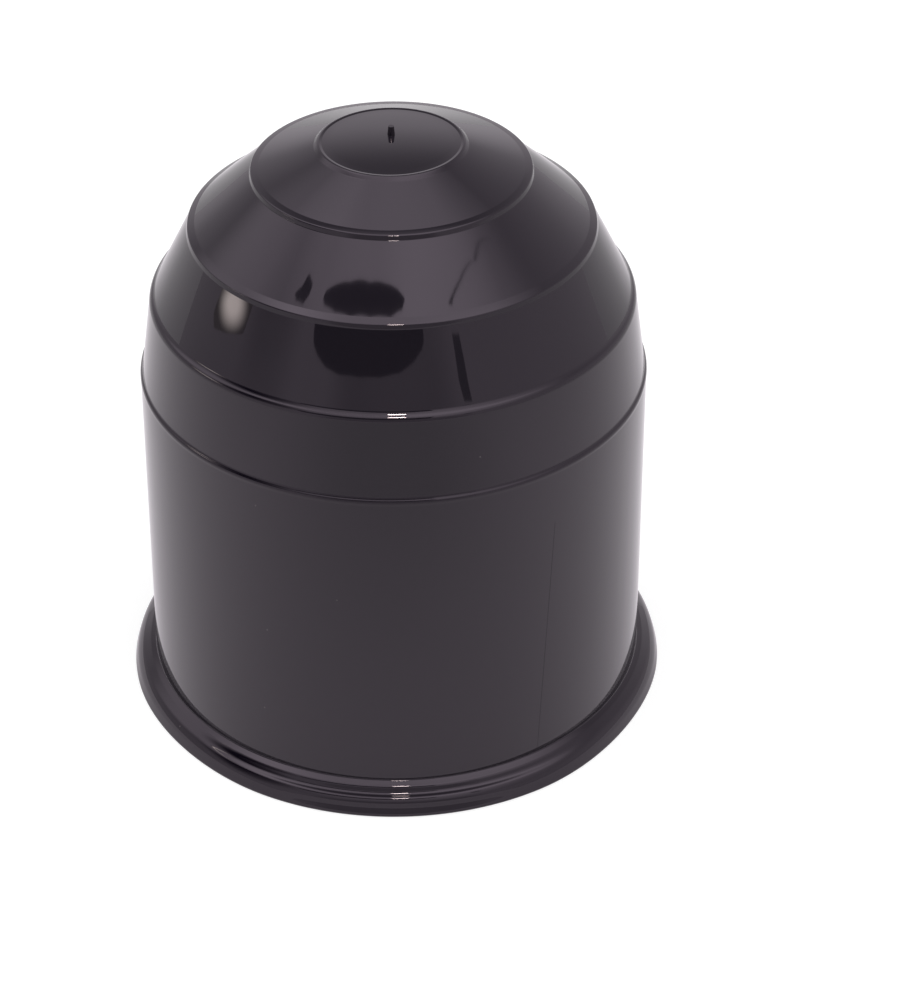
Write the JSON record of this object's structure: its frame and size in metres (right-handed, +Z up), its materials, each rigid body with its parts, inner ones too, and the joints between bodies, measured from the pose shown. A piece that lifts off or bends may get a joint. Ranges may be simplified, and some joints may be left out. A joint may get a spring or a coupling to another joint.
{
  "type": "tow ball cover",
  "caption": "Black slip-on cap that covers a tow ball, with a domed top of conical bands and fine ridges, a plain skirt and a rolled, flared rim.",
  "frame": {"origin": "centre of the circle that the rim rests on", "axes": "+Z up along the cap's axis, from the mouth to the top disc; +Y away from the viewer, +X to the viewer's right"},
  "size_m": [0.0586, 0.0586, 0.0646],
  "materials": {
    "black_plastic": "moulded gloss"
  },
  "bodies": {
    "root": {"cap": "black_plastic"}
  },
  "joints": []
}
